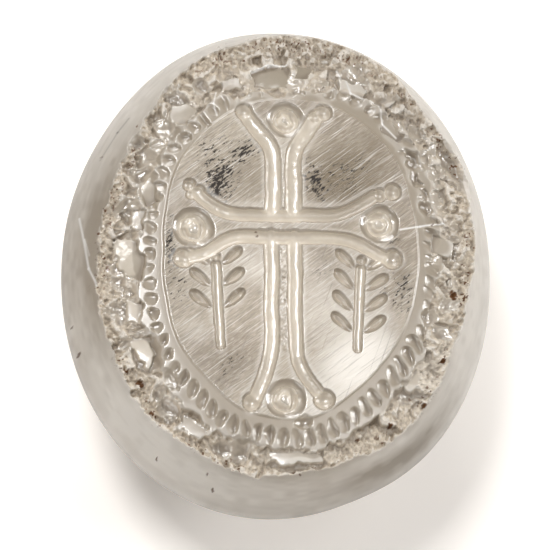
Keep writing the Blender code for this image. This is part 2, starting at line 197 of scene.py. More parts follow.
# The line round the flat field: points of the drawn line
FIELD_LINE = (
    (5.88, 0.84), (5.58, 2.77), (5.09, 4.39), (4.01, 5.8), (2.24, 6.95), (0.1, 7.25), (-1.8, 6.9),
    (-3.33, 5.86), (-4.75, 4.04), (-5.23, 2.09), (-5.31, 0.12), (-5.16, -2.1), (-4.65, -3.99),
    (-3.41, -5.53), (-1.99, -6.83), (0.0, -7.25), (1.42, -7.11), (2.98, -5.99), (4.24, -4.7),
    (5.34, -2.9), (5.76, -1.28),
)
FIELD_MIDDLE = (0.28, -0.05)


def spline_round(points, turn):
    """Radius at a heading of a smooth closed line through points round FIELD_MIDDLE."""
    px, py = (np.array(points) - FIELD_MIDDLE).T
    at = np.arctan2(py, px) % TAU
    order = np.argsort(at)
    at, radius = at[order], np.hypot(px, py)[order]
    fine = np.linspace(0, TAU, 721)
    wide = np.concatenate([at[-3:] - TAU, at, at[:3] + TAU])
    deep = np.concatenate([radius[-3:], radius, radius[:3]])
    rough = np.interp(fine, wide, deep)
    soft = np.zeros_like(rough)
    weights = np.exp(-np.linspace(-2, 2, 25) ** 2)
    weights /= weights.sum()
    loop = rough[:-1]
    for shift, weight in zip(range(-12, 13), weights):
        soft[:-1] += weight * np.roll(loop, shift)
    soft[-1] = soft[0]
    return np.interp(turn % TAU, fine, soft)


def field_distance(x, y):
    """How far a point is outside the field's line."""
    dx, dy = x - FIELD_MIDDLE[0], y - FIELD_MIDDLE[1]
    return np.hypot(dx, dy) - spline_round(FIELD_LINE, np.arctan2(dy, dx))


# Where the worn edge begins on the shoulder, measured in from the widest line
WEAR_OUTER = tuple(zip(range(0, 360, 10), (
    1.09, 0.98, 0.98, 0.67, 1.04, 1.07, 0.52, 0.35, 0.35, 0.38, 0.9, 0.9,
    1.08, 1.4, 1.58, 1.6, 1.55, 1.47, 1.41, 1.33, 1.33, 1.41, 1.29, 1.26,
    1.39, 1.4, 1.21, 1.4, 1.46, 1.42, 1.37, 1.41, 1.54, 1.6, 1.54, 1.43,
)))
# Where it ends on the face, measured in the same way
WEAR_INNER = (
    (0, 2.95), (30, 2.75), (45, 2.55), (60, 2.6), (75, 3.15), (90, 3.7), (105, 3.55), (120, 3.0),
    (135, 2.9), (150, 3.0), (165, 3.1), (180, 3.2), (210, 3.05), (225, 2.95), (250, 2.6),
    (270, 2.5), (290, 2.5), (315, 2.85), (340, 2.95),
)


def face_height(x, y):
    """The ground face before engraving: slightly crowned field, step, sloped border."""
    out = field_distance(x, y)
    crown = FIELD_CROWN * np.clip(((x - 0.3) ** 2 + y**2) / 7.0**2, 0.0, 1.3)
    step = 0.05 * smoothstep(-0.02, 0.1, out) + 0.08 * smoothstep(0.1, 1.6, out)
    return DEPTH - crown - step


def worn_parts(x, y):
    """Inset at points, and the worn band's outer and inner limits there."""
    turn = np.arctan2(y, x)
    inset = outline_radius(0.0, turn) - np.hypot(x, y)
    outer, inner = round_table(WEAR_OUTER, turn), round_table(WEAR_INNER, turn)
    outer = outer + 0.07 * noise(x, y, 0.55, 3) + 0.05 * noise(x, y, 0.17, 4)
    inner = inner + 0.22 * noise(x, y, 0.9, 5) + 0.12 * noise(x, y, 0.35, 6)
    return inset, outer, inner


def worn_height(x, y):
    """The worn band's general surface, before its chips."""
    inset, outer, inner = worn_parts(x, y)
    t = np.clip((inset - outer) / (inner - outer), 0.0, 1.0)
    low = shoulder_height(np.minimum(outer, EDGE_INSET))
    low = np.minimum(low, DEPTH - WORN_RIM_DROP)
    rise = (DEPTH - BORDER_DROP - low) * t**0.85
    return low + rise - WORN_SAG * np.sin(math.pi * t) - WORN_STEP


def around(x, y, middle_x, middle_y, reach):
    """Which points lie in a square round a place."""
    return np.nonzero((np.abs(x - middle_x) < reach) & (np.abs(y - middle_y) < reach))[0]


def hump(away, width):
    """1 at the middle, rounding off to 0 at a width and beyond."""
    return np.clip(1.0 - (away / width) ** 2, 0.0, 1.0)


def stroke_points(points, rounds):
    """Softens the corners of a drawn stroke."""
    line = [np.array(p, float) for p in points]
    for _ in range(rounds):
        new = [line[0]]
        for a, b in zip(line, line[1:]):
            new += [a * 0.75 + b * 0.25, a * 0.25 + b * 0.75]
        line = new + [line[-1]]
    return line


class Relief:
    """The depth cut below the face at each vertex."""

    def __init__(self, x, y):
        self.x, self.y = x, y
        self.depth = np.zeros_like(x)

    def take(self, where, depth):
        """Deepens vertices to a depth where they aren't as deep yet."""
        self.depth[where] = np.maximum(self.depth[where], depth)

    def stroke(self, points, half_width, depth, ends, rounds=2):
        """A round-bottomed cut along a line; ends scale its width at start and finish."""
        line = stroke_points(points, rounds)
        count = len(line) - 1
        for number, (a, b) in enumerate(zip(line, line[1:])):
            reach = half_width * 1.3 + math.dist(a, b) / 2.0
            where = around(self.x, self.y, *((a + b) / 2.0), reach)
            px, py = self.x[where] - a[0], self.y[where] - a[1]
            dx, dy = b - a
            along = np.clip((px * dx + py * dy) / (dx * dx + dy * dy + 1e-12), 0.0, 1.0)
            away = np.hypot(px - along * dx, py - along * dy)
            place = (number + along) / count
            width = half_width * (ends[0] + (ends[1] - ends[0]) * place)
            self.take(where, depth * (width / half_width) * hump(away, width) ** 0.44)

    def ball(self, x, y, radius, depth):
        """A round drilled hollow."""
        where = around(self.x, self.y, x, y, radius)
        away = np.hypot(self.x[where] - x, self.y[where] - y)
        self.take(where, depth * hump(away, radius) ** 0.8)

    def boat(self, x, y, heading, length, width, depth, pear, lean):
        """A lens-shaped notch; pear makes one end fuller, lean moves its crease to one side."""
        where = around(self.x, self.y, x, y, max(length, width) * 0.6)
        u, v = turned(self.x[where] - x, self.y[where] - y, heading)
        u, v = u / (length / 2.0), v / (width / 2.0)
        half = np.sqrt(np.clip(1.0 - np.abs(u) ** 2.2, 0.0, 1.0)) * (1.0 + pear * u)
        # The crease lies on the side of the upper right
        crease = lean if -math.sin(heading) * 0.75 + math.cos(heading) * 0.65 > 0.0 else -lean
        across = v / np.maximum(half, 1e-6)
        wall = (across - crease) / np.where(across > crease, 1.0 - crease, -1.0 - crease)
        slope = np.clip(1.0 - wall**1.5, 0.0, 1.0)
        self.take(where, depth * slope * np.clip(half, 0.0, 1.0) ** 1.2)

    def bowl(self, x, y, radius, depth, ring, line, dot):
        """A shallow drilled bowl with a ring and a dot at its middle."""
        where = around(self.x, self.y, x, y, radius)
        away = np.hypot(self.x[where] - x, self.y[where] - y)
        uneven = noise(self.x[where], self.y[where], 0.24, 18)
        floor = depth * hump(away, radius) ** 0.7 * (1.0 + 0.1 * uneven)
        away = away + 0.06 * uneven
        ring_cut = 0.12 * hump(away - ring, line) ** 0.8 * (1.0 + 0.5 * uneven)
        knob = 0.12 * hump(away, dot) ** 0.6
        self.take(where, floor + ring_cut - knob)


def engrave(relief):
    """The cross, with rods in pairs, forked tips with balls, and ringed bowls."""
    shaft, beam, deep, ball_deep, pit_deep = 0.37, 0.33, 0.29, 0.36, 0.26
    # The shaft's and the arms' rods: half width, share of it at the tip, and the line
    rods = (
        (shaft + 0.04, 0.85, (
            (-0.56, 1.9), (-0.53, 3.2), (-0.51, 4.55), (-0.68, 5.09), (-1.39, 5.95),
            (-1.78, 6.52))),
        (shaft + 0.04, 0.9, (
            (0.37, 1.9), (0.38, 3.2), (0.38, 4.58), (0.53, 5.1), (1.08, 5.95), (1.38, 6.42))),
        (shaft, 0.9, (
            (-0.6, 0.9), (-0.61, -2.0), (-0.6, -4.23), (-0.84, -5.2), (-1.18, -6.1),
            (-1.4, -6.55))),
        (shaft, 0.8, (
            (0.43, 0.9), (0.43, -2.0), (0.43, -4.15), (0.7, -5.05), (1.25, -5.85),
            (1.62, -6.33))),
        (beam, 0.95, (
            (0.6, 1.86), (-1.05, 1.84), (-2.25, 1.82), (-2.9, 2.05), (-3.49, 2.36),
            (-3.95, 2.8))),
        (beam, 1.0, (
            (0.6, 0.88), (-1.05, 0.87), (-2.35, 0.85), (-3.0, 0.47), (-3.65, -0.02),
            (-4.4, -0.22))),
        (beam, 0.95, (
            (-0.8, 1.86), (0.51, 1.89), (2.25, 1.94), (3.15, 2.3), (4.0, 2.86))),
        (beam, 0.95, (
            (-0.8, 0.88), (0.51, 0.87), (2.45, 0.95), (3.35, 0.66), (4.15, 0.16),
            (4.6, 0.03))),
    )
    for half_width, taper, line in rods:
        relief.stroke(line, half_width, deep, (1.0, taper))
    for x, y, radius in ((-1.84, 6.6, 0.42), (1.36, 6.46, 0.36), (1.7, 6.68, 0.42),
                         (4.28, 2.92, 0.36), (4.84, 3.1, 0.44), (4.76, 0.0, 0.5),
                         (-4.52, -0.24, 0.5), (-1.48, -6.58, 0.46), (1.7, -6.42, 0.5)):
        relief.ball(x, y, radius, ball_deep)
    for x, y, radius in ((-4.25, 3.1, 0.34), (-3.85, 2.85, 0.34), (-4.15, 2.7, 0.3)):
        relief.ball(x, y, radius, pit_deep)
    relief.bowl(0.03, 6.24, 0.86, 0.24, 0.43, 0.14, 0.2)
    relief.bowl(-4.08, 1.16, 0.95, 0.26, 0.43, 0.14, 0.24)
    relief.bowl(4.22, 1.6, 0.9, 0.25, 0.43, 0.13, 0.22)
    relief.bowl(0.03, -6.4, 0.92, 0.25, 0.44, 0.13, 0.22)


def sprig(relief, foot, head, pairs):
    """A stem with a bud at its head and leaves in pairs."""
    foot, head = np.array(foot, float), np.array(head, float)
    up = (head - foot) / np.linalg.norm(head - foot)
    relief.stroke([foot, head], 0.25, 0.24, (0.9, 1.0), 0)
    relief.ball(*(head + up * 0.4), 0.26, 0.2)
    for pair in range(pairs):
        base = head - up * 0.95 * (pair + 0.25)
        for side in (-1.0, 1.0):
            way = np.array(turned(*up, -side * math.radians(50.0)))
            heading = math.atan2(way[1], way[0])
            relief.boat(*(base + way * 0.96), heading, 1.25, 0.54, 0.24, 0.25, 0.15)


# The border's hollows by heading: distance out from the field's line, length, width, slant
# away from straight outwards, and pitch
PIT_ZONES = (
    (0, 0.72, 0.98, 0.52, -48, 0.6), (25, 0.84, 1.35, 0.62, -62, 0.74),
    (50, 0.9, 1.35, 0.62, -66, 0.74), (62, 0.8, 0.75, 0.6, -40, 0.66),
    (85, 0.66, 0.66, 0.56, -25, 0.66), (100, 0.6, 0.62, 0.46, 10, 0.6),
    (115, 0.58, 0.78, 0.5, 20, 0.62), (135, 0.6, 0.9, 0.54, 30, 0.64),
    (155, 0.62, 0.8, 0.52, 25, 0.62), (170, 0.66, 0.52, 0.5, 0, 0.66),
    (200, 0.7, 0.56, 0.56, 0, 0.64), (220, 0.74, 0.6, 0.5, 10, 0.6),
    (240, 0.84, 0.8, 0.5, 18, 0.6), (270, 0.88, 0.9, 0.5, 8, 0.56),
    (300, 0.88, 0.92, 0.52, -4, 0.6), (318, 0.8, 0.92, 0.52, -22, 0.6),
    (335, 0.85, 1.0, 0.54, -42, 0.6),
)


def pit_zone(turn):
    """The border's measures at a heading, read between its zones."""
    headings = [row[0] for row in PIT_ZONES] + [360.0]
    rows = [row[1:] for row in PIT_ZONES] + [PIT_ZONES[0][1:]]
    return [float(np.interp(math.degrees(turn), headings, column)) for column in zip(*rows)]


def border(relief):
    """The row of slanted hollows round the field, set close like the turns of a rope."""
    dice = np.random.default_rng(21)
    turn = 0.0
    while turn < TAU - 0.04:
        radius = float(spline_round(FIELD_LINE, np.array(turn)))
        out, length, width, slant, pitch = pit_zone(turn)
        out += dice.uniform(-0.05, 0.05)
        degrees = math.degrees(turn)
        depth = 0.14 + 0.05 * bell(degrees, 35.0, 28.0) - 0.05 * bell(degrees, 180.0, 38.0)
        x = FIELD_MIDDLE[0] + (radius + out) * math.cos(turn)
        y = FIELD_MIDDLE[1] + (radius + out) * math.sin(turn)
        uneven = 1.0 + 1.4 * bell(degrees, 165.0, 50.0)
        heading = turn + math.radians(slant + dice.uniform(-8, 8) * uneven)
        relief.boat(x, y, heading, length * (1.0 + dice.uniform(-0.12, 0.12) * uneven),
                    width * (1.02 + dice.uniform(-0.1, 0.1) * uneven),
                    depth * dice.uniform(0.75, 1.25), dice.uniform(-0.3, 0.3), 0.45)
        turn += pitch * dice.uniform(0.93, 1.07) / (radius + out)
    # One round hollow stands in the row below the field
    relief.ball(0.78, -7.43, 0.38, 0.22)


# The larger shell-shaped flakes: x, y, half sizes, depth, heading of the long side
FLAKES = (
    (-4.67, 6.42, 0.75, 0.6, 0.3, 40), (-3.79, 7.84, 0.48, 0.36, 0.22, 30),
    (-6.29, 3.59, 0.55, 0.42, 0.24, 60), (-6.72, 1.84, 0.5, 0.42, 0.2, 80),
    (-6.74, -0.65, 0.62, 0.5, 0.16, 90), (-6.0, -4.4, 0.95, 0.75, 0.3, 110),
    (3.11, 8.25, 0.85, 0.62, 0.34, -30), (3.44, 9.06, 0.45, 0.34, 0.2, -30),
    (5.9, 4.61, 0.62, 0.36, 0.26, -55), (6.11, 3.79, 0.52, 0.3, 0.22, -62),
    (6.33, 3.19, 0.5, 0.3, 0.22, -60), (6.4, 2.5, 0.42, 0.4, 0.2, -70),
    (7.86, 4.36, 1.25, 0.42, 0.3, -62), (0.5, -9.0, 1.25, 0.36, 0.16, 0),
    (-6.6, 5.0, 0.5, 0.4, 0.24, 45), (-7.3, -2.6, 0.5, 0.6, 0.2, 90),
    (-5.1, -6.9, 0.65, 0.45, 0.22, -45), (4.9, 6.2, 0.5, 0.45, 0.22, -45),
    (-2.6, -8.5, 0.6, 0.42, 0.2, -20),
)

# Flat broken places in the worn band: depth below the face, tilts in x and y, paleness, corners
SLABS = (
    (0.85, 0.05, -0.8, -0.8, ((-1.4, 7.9), (0.1, 7.75), (0.4, 8.45), (0.2, 9.1),
         (-0.65, 9.05), (-1.5, 8.7))),
    (0.9, 0.0, -0.7, -1.0, ((0.5, 8.45), (1.15, 8.4), (1.3, 9.0), (0.65, 9.15))),
    (0.42, 0.16, 0.09, 0.8, ((-7.55, 0.7), (-7.35, -0.75), (-6.25, -1.3), (-6.1, -0.2),
         (-6.7, 0.6))),
    (0.4, 0.14, -0.1, 0.6, ((-6.95, -2.0), (-7.05, -3.0), (-6.35, -3.1), (-6.25, -2.2))),
    (0.44, 0.18, -0.1, 0.6, ((-6.8, -3.7), (-6.6, -4.6), (-5.9, -5.2), (-5.6, -4.6),
         (-5.95, -3.75))),
    (0.38, 0.18, 0.1, 0.5, ((-6.9, 2.0), (-6.85, 1.1), (-6.35, 1.0), (-6.15, 1.95))),
    (0.36, 0.16, 0.14, 0.7, ((-6.45, 3.1), (-6.15, 2.2), (-5.55, 2.25), (-5.65, 3.0),
         (-6.05, 3.6))),
    (0.4, 0.16, -0.16, -0.5, ((-5.05, 6.75), (-5.1, 6.05), (-4.35, 5.85), (-3.95, 6.6),
         (-4.45, 7.05))),
    (0.36, -0.05, 0.2, 0.3, ((-2.95, 8.15), (-2.85, 7.5), (-1.95, 7.6), (-1.95, 8.3))),
    (0.38, -0.16, 0.12, -0.4, ((4.55, 6.65), (4.3, 5.95), (5.05, 5.35), (5.55, 5.75))),
    (0.4, -0.18, 0.08, 0.4, ((6.1, 4.35), (5.95, 3.75), (6.55, 3.1), (6.85, 3.7))),
    (0.3, 0.05, -0.1, -0.5, ((-0.65, -8.65), (1.6, -8.6), (1.65, -9.15), (0.4, -9.3),
         (-0.7, -9.2))),
    (0.36, -0.12, -0.14, 0.5, ((5.1, -5.6), (5.85, -4.8), (6.15, -5.25), (5.6, -5.95))),
    (0.36, 0.12, -0.16, -0.4, ((-4.35, -7.15), (-3.35, -7.75), (-3.65, -8.25), (-4.7, -7.7))),
    (0.36, -0.14, 0.12, 0.4, ((2.35, 8.45), (2.55, 7.7), (3.65, 7.35), (3.75, 8.05))),
    (0.4, -0.18, -0.04, -0.5, ((6.7, 1.3), (6.6, 0.4), (7.45, 0.2), (7.6, 1.1))),
)

# Soil caught in the worn band and pits on the shoulder: x, y, half width and darkness
SOIL = (
    (-6.89, -5.27, 0.1, 0.7), (-6.36, -5.74, 0.15, 1.0), (-6.25, -5.88, 0.11, 1.0),
    (7.62, -1.45, 0.2, 1.0), (7.5, -1.3, 0.12, 0.8), (8.21, -1.52, 0.08, 0.9),
    (7.04, -4.46, 0.11, 1.1), (6.17, -6.5, 0.15, 0.9), (4.69, -7.43, 0.15, 0.9),
    (3.22, -8.05, 0.12, 0.7), (4.06, -7.94, 0.1, 0.6), (0.4, -9.61, 0.08, 1.1),
    (0.7, -9.7, 0.08, 0.7), (-6.57, 5.81, 0.08, 0.9), (-7.94, 1.95, 0.09, 0.8),
    (-8.23, 0.85, 0.09, 0.8), (-7.78, -0.63, 0.11, 0.7), (-3.01, 9.25, 0.09, 0.7),
    (-1.75, 9.16, 0.08, 0.9), (-1.21, 0.94, 0.09, 0.7), (-1.3, 1.1, 0.06, 0.7),
    (5.55, -6.2, 0.1, 0.6), (-2.3, -9.05, 0.09, 0.6), (-5.0, -7.65, 0.1, 0.5),
    (-9.23, -3.0, 0.07, 0.6), (-8.89, -4.24, 0.09, 0.7), (-5.47, -8.92, 0.06, 0.8),
    (-3.32, -9.63, 0.06, 0.7), (-3.03, -10.23, 0.08, 0.7), (-8.1, 4.6, 0.06, 0.5),
    (6.62, 1.69, 0.08, 0.6),
)
# Hairlines, with one painted highlight along a broken edge: half width, strength with a minus for
# dark ones, and the line
HAIRLINES = (
    (0.045, 0.9, ((5.14, 1.37), (6.04, 1.55), (6.64, 1.69), (7.24, 1.82))),
    (0.05, 0.8, ((-9.03, 1.76), (-8.62, -0.68), (-8.27, -1.46))),
    (0.035, 0.5, ((-8.8, 0.7), (-8.6, -0.1))),
    (0.05, -0.5, ((-8.15, 4.42), (-7.4, 5.7), (-6.9, 6.35))),
    # A painted highlight along the broken top edge of a flat place
    (0.05, 0.9, ((-1.48, 8.66), (-0.7, 9.04), (0.18, 9.12))),
    (0.04, 0.6, ((-3.05, 6.35), (-3.2, 6.95), (-3.05, 7.6))),
    (0.05, 0.7, ((2.5, 9.0), (3.0, 7.7), (4.3, 7.2), (4.4, 6.3), (5.05, 5.7))),
)
# Dark patches where the field reflects the room: x, y, half sizes, heading, strength
PATCHES = (
    (-2.95, 3.3, 0.6, 1.1, -20, 0.9), (-3.25, 4.6, 0.8, 0.6, 40, 0.4),
    (-1.75, 4.8, 0.85, 0.5, 40, 0.65), (1.35, 3.5, 0.4, 0.8, 20, 0.75),
    (2.6, 3.7, 1.6, 1.0, 35, 0.2), (5.2, -1.4, 0.5, 0.85, 10, 0.45),
    (4.3, -1.3, 0.7, 0.5, 30, 0.22), (-5.05, 0.3, 0.32, 1.2, 8, 0.75),
    (-4.7, -1.6, 0.55, 0.8, 30, 0.25), (4.8, 0.75, 0.35, 1.1, 0, 0.28),
    (-2.3, -5.0, 1.0, 0.6, 38, 0.2), (1.6, -0.55, 0.6, 0.4, 38, 0.18),
)
# How pale the shoulder is by heading, from 0 to 1: painted light and shade, partly the crystal's
# cloudiness
SHOULDER_PAINTED_LIGHT = (
    (0, 0.96), (45, 0.83), (90, 0.68), (135, 0.66), (150, 0.5), (165, 0.27), (185, 0.19),
    (205, 0.5), (225, 1.0), (250, 0.96), (270, 0.67), (290, 0.44), (310, 0.5), (330, 0.92),
)
# Painted light and shade: where the field and the worn band are painted brighter, and where dimmer:
# x, y, half sizes, heading, strength
PAINTED_LIGHT_PLACES = (
    (1.7, -2.4, 1.6, 3.2, 12, 0.42), (3.2, -4.6, 2.2, 1.5, 40, 1.0),
    (1.4, -6.5, 1.2, 0.8, 20, 0.6), (-4.9, 2.6, 0.5, 1.2, -20, 0.35),
    (-1.5, -0.4, 0.9, 1.4, 30, 0.45), (-3.9, -3.4, 1.0, 0.8, 40, 0.35),
    (4.4, -2.6, 1.2, 1.6, 0, 0.45), (6.6, -5.0, 1.2, 2.2, -38, 0.7),
    (0.6, -8.8, 3.0, 0.9, 0, 0.35), (7.6, -1.8, 0.9, 1.6, 0, 0.3),
)
PAINTED_SHADE_PLACES = (
    (2.6, 3.6, 2.2, 2.0, 35, 1.0), (3.6, 5.2, 1.4, 1.0, -50, 0.6), (-1.8, 3.7, 1.6, 1.5, 35, 0.55),
    (-2.3, -4.9, 1.4, 1.0, 38, 0.4), (5.2, -0.9, 0.6, 1.7, 0, 0.7), (-5.1, -0.6, 0.6, 1.6, 8, 0.4),
    (0.6, 9.6, 3.4, 1.2, 0, 0.65), (5.4, 7.2, 2.8, 1.0, -45, 0.7), (-7.1, 0.2, 0.9, 3.4, 0, 0.4),
    (-3.9, -1.6, 0.8, 1.4, 10, 0.25), (-5.75, -1.2, 0.6, 3.2, 8, 0.7),
    (-5.6, 6.6, 1.6, 0.9, 45, 0.25),
)

# How gravelly the worn band is by heading: 0 for broad shells on its inner side, 1 for grit
GRAVELLY = (
    (0, 0.45), (30, 0.3), (60, 0.3), (85, 0.6), (110, 0.5), (130, 0.2), (160, 0.1), (200, 0.1),
    (218, 0.5), (235, 0.9), (262, 0.8), (280, 0.75), (300, 0.95), (330, 0.9), (348, 0.6),
)


def blobs(x, y, places, power):
    """The strength at each vertex of a set of soft oval marks."""
    total = np.zeros_like(x)
    for cx, cy, a, b, heading, strength in places:
        u, v = turned(x - cx, y - cy, math.radians(heading))
        total = np.maximum(total, strength * np.exp(-(((u / a) ** 2 + (v / b) ** 2) ** power)))
    return total


def hairlines(x, y):
    """Scratches, fissures and a painted highlight along a broken edge: above 0 where bright, below
    0 where dark.
    """
    total = np.zeros_like(x)
    for half, strength, line in HAIRLINES:
        for a, b in zip(line, line[1:]):
            dx, dy = b[0] - a[0], b[1] - a[1]
            along = np.clip(((x - a[0]) * dx + (y - a[1]) * dy) / (dx * dx + dy * dy), 0.0, 1.0)
            away = np.hypot(x - a[0] - along * dx, y - a[1] - along * dy)
            total = total + strength * bell(away, 0.0, half)
    return np.clip(total, -1.0, 1.0)


def shoulder_light_and_shade(inset, turn):
    """Paleness of the shoulder: painted light and shade, broad by heading, a painted dark
    reflection band, painted shade at its rims, and faint polishing lines along it.
    """
    around = turn / TAU * 128.0
    fine = noise(around, inset * 11.0, 1.0, 81)
    broad = noise(around, inset * 3.5, 1.0, 82)
    degrees = np.degrees(turn) % 360.0
    # A painted dark reflection band low on the right, and painted shade along the bottom rims and
    # the inner left side
    reflection_band = bell(inset, 0.55, 0.28) - 0.7 * bell(inset, 1.15, 0.22)
    rim_shade = 0.32 * bell(inset, 0.0, 0.2) + 0.26 * smoothstep(0.85, 1.25, inset)
    shade = 0.6 * bell(degrees, 300.0, 16.0) * reflection_band + bell(degrees, 250.0, 34.0) * rim_shade
    shade = shade + 0.42 * bell(degrees, 180.0, 28.0) * smoothstep(0.5, 1.3, inset)
    return round_table(SHOULDER_PAINTED_LIGHT, turn) + 0.1 * fine + 0.08 * broad - shade


def soil_marks(x, y, band_place):
    """The named specks of soil, and many small ones along the worn band's outer line."""
    places = [(px, py, half, half * 0.8, 45.0, dark) for px, py, half, dark in SOIL]
    marks = blobs(*wandering(x, y, (0.06, 0.11, 61, 62)), places, 2.0)
    fine = smoothstep(0.42, 0.54, noise(x, y, 0.13, 63) * 0.6 + noise(x, y, 0.07, 64) * 0.6)
    middle = smoothstep(0.4, 0.7, noise(x, y, 0.9, 65) * 0.5 + 0.5)
    near_line = bell(band_place, 0.16, 0.22)
    return np.maximum(marks, fine * near_line * (0.25 + 0.75 * middle) * 0.85)


def flake(z, glassy, x, y, place, ripple):
    """Cuts a shell-shaped bowl with a ragged outline and faint ripples below the worn surface."""
    cx, cy, a, b, depth, heading = place
    reach = max(a, b) * 1.35
    where = around(x, y, cx, cy, reach)
    step = 0.25
    middle, right, up = worn_height(np.array([cx, cx + step, cx]), np.array([cy, cy, cy + step]))
    dx, dy = x[where] - cx, y[where] - cy
    px, py = wandering(x[where], y[where], (0.13, 0.42, 51, 52), (0.04, 0.15, 53, 54))
    u, v = turned(px - cx, py - cy, math.radians(heading))
    u, v = u / a, v / b
    away = np.sqrt(u * u + v * v)
    base = middle + (right - middle) / step * dx + (up - middle) / step * dy
    wave = ripple * np.sin(away * 15.0 + u * 2.0) * smoothstep(0.1, 0.5, away)
    bottom = base - depth * (1.0 - away**2) + wave
    lower = (bottom < z[where]) & (away < 1.3)
    z[where] = np.where(lower, bottom, z[where])
    shine = np.maximum(glassy[where], smoothstep(1.1, 0.8, away))
    glassy[where] = np.where(lower, shine, glassy[where])


def slab(z, glassy, pale, x, y, place):
    """Brings the surface to a flat, tilted place inside convex corners, given in either order."""
    drop, tilt_x, tilt_y, paleness, corners = place
    middle = np.mean(corners, axis=0)
    reach = max(math.dist(middle, corner) for corner in corners) + 0.1
    where = around(x, y, *middle, reach)
    dx, dy = x[where] - middle[0], y[where] - middle[1]
    px, py = wandering(x[where], y[where], (0.12, 0.35, 71, 72), (0.03, 0.12, 73, 74))
    inside = np.full(len(where), 9.0)
    for (ax, ay), (bx, by) in zip(corners, corners[1:] + corners[:1]):
        ux, uy = bx - ax, by - ay
        side = math.copysign(1.0, ux * (middle[1] - ay) - uy * (middle[0] - ax))
        away = side * (ux * (py - ay) - uy * (px - ax)) / math.hypot(ux, uy)
        inside = np.minimum(inside, away)
    share = smoothstep(0.0, 0.07, inside)
    shell = 0.0035 * np.sin(np.hypot(dx - 0.8, dy + 0.9) * 10.0) - 0.08 * (dx * dx + dy * dy)
    level = DEPTH - drop + 0.7 * (tilt_x * dx + tilt_y * dy) + shell
    z[where] = z[where] * (1.0 - share) + np.minimum(level, DEPTH - 0.02) * share
    glassy[where] = np.maximum(glassy[where] * (1.0 - share), share)
    pale[where] = pale[where] * (1.0 - share) + paleness * share


def stone_grid():
    """Heading and share of the way out for each vertex of a square grid drawn on a disk."""
    line = np.linspace(-1.0, 1.0, CELLS + 1)
    a, b = np.meshgrid(line, line)
    wide = np.abs(a) > np.abs(b)
    r = np.where(wide, a, b)
    safe_a = np.where(a == 0.0, 1e-9, a)
    safe_b = np.where(b == 0.0, 1e-9, b)
    eighth = math.pi / 4.0
    phi = np.where(wide, eighth * (b / safe_a), 2.0 * eighth - eighth * (a / safe_b))
    u, v = r * np.cos(phi), r * np.sin(phi)
    return np.hypot(u, v).ravel(), np.arctan2(v, u).ravel()


def blurred(grid, sigma):
    """A grid softened by a bell curve this many cells wide."""
    reach = int(3 * sigma) + 1
    weights = np.exp(-0.5 * (np.arange(-reach, reach + 1) / sigma) ** 2)
    weights /= weights.sum()
    padded = np.pad(grid, reach, mode="edge")
    rows = sum(w * padded[k:k + grid.shape[0], :] for k, w in enumerate(weights))
    return sum(w * rows[:, k:k + grid.shape[1]] for k, w in enumerate(weights))


def hollowness(z):
    """Above 0 at the bottom of hollows and below 0 on ridges."""
    grid = z.reshape(CELLS + 1, CELLS + 1)
    scale = CELLS / 520.0
    return (blurred(grid, 4.5 * scale) - blurred(grid, 1.0 * scale)).ravel()


def engraved_depth(x, y):
    """The depth cut at points, and the part of it that belongs to the cross and sprigs."""
    # On a slightly wandering line, as a hand-held wheel leaves it
    hand_x, hand_y = wandering(x, y, (0.035, 1.3, 11, 13), (0.012, 0.35, 12, 14))
    figures = Relief(hand_x, hand_y)
    engrave(figures)
    sprig(figures, (-2.86, -4.07), (-3.08, -0.47), 3)
    sprig(figures, (3.16, -4.07), (3.38, -0.47), 4)
    notches = Relief(hand_x + 0.06 * noise(x, y, 0.38, 19), hand_y + 0.06 * noise(x, y, 0.38, 20))
    border(notches)
    return np.maximum(figures.depth, notches.depth), figures.depth


def scatter_flakes(z, glassy, x, y):
    """Many small flakes over the worn band, fewer where it is gravelly."""
    dice = np.random.default_rng(5)
    for count, small, large, nearest in ((95, 0.3, 0.75, 0.4), (50, 0.1, 0.24, 0.0)):
        for _ in range(count):
            ray = np.array(dice.uniform(0.0, TAU))
            at = dice.uniform(nearest, 1.0)
            if dice.uniform() < 0.9 * float(round_table(GRAVELLY, ray)):
                continue
            outer, inner = float(round_table(WEAR_OUTER, ray)), float(round_table(WEAR_INNER, ray))
            out = float(outline_radius(0.0, ray)) - (outer + (inner - outer) * at)
            a = dice.uniform(small, large)
            place = (out * math.cos(ray), out * math.sin(ray), a, a * dice.uniform(0.45, 0.9),
                     a * dice.uniform(0.14, 0.3), dice.uniform(0.0, 180.0))
            flake(z, glassy, x, y, place, 0.008)


def broken_relief(x, y, turn, t):
    """Broad broken planes on the worn band's inner side, and ever finer gravel outwards.

    Returns the relief and how far it is coarse planes and fine gravel, from 0 to 1.
    """
    planes = facets(x, y, 1.05, 44, 0.26, 0.07) + facets(x, y, 0.5, 41, 0.26, 0.04)
    gravel = 0.8 * facets(x, y, 0.21, 42, 0.42, 0.022) + 0.6 * facets(x, y, 0.11, 43, 0.5, 0.02)
    low_left = bell(np.degrees(turn) % 360.0, 238.0, 26.0)
    gravelly = round_table(GRAVELLY, turn) + 0.4 * low_left + 0.35 * noise(x, y, 0.6, 47)
    gravelly = np.clip(gravelly, 0.0, 1.0)
    coarse = smoothstep(0.1, 0.55, t + 0.25 * noise(x, y, 0.8, 45))
    fine = 1.0 - 0.85 * smoothstep(0.3, 0.65, t + 0.3 * noise(x, y, 0.7, 46)) * (1.0 - gravelly)
    coarse = coarse * (1.0 - 0.55 * gravelly)
    cracks = 0.1 * smoothstep(0.04, 0.0, np.abs(noise(x, y, 0.55, 48))) * gravelly
    return planes * (0.25 + 0.75 * coarse) + gravel * fine - cracks, coarse, fine


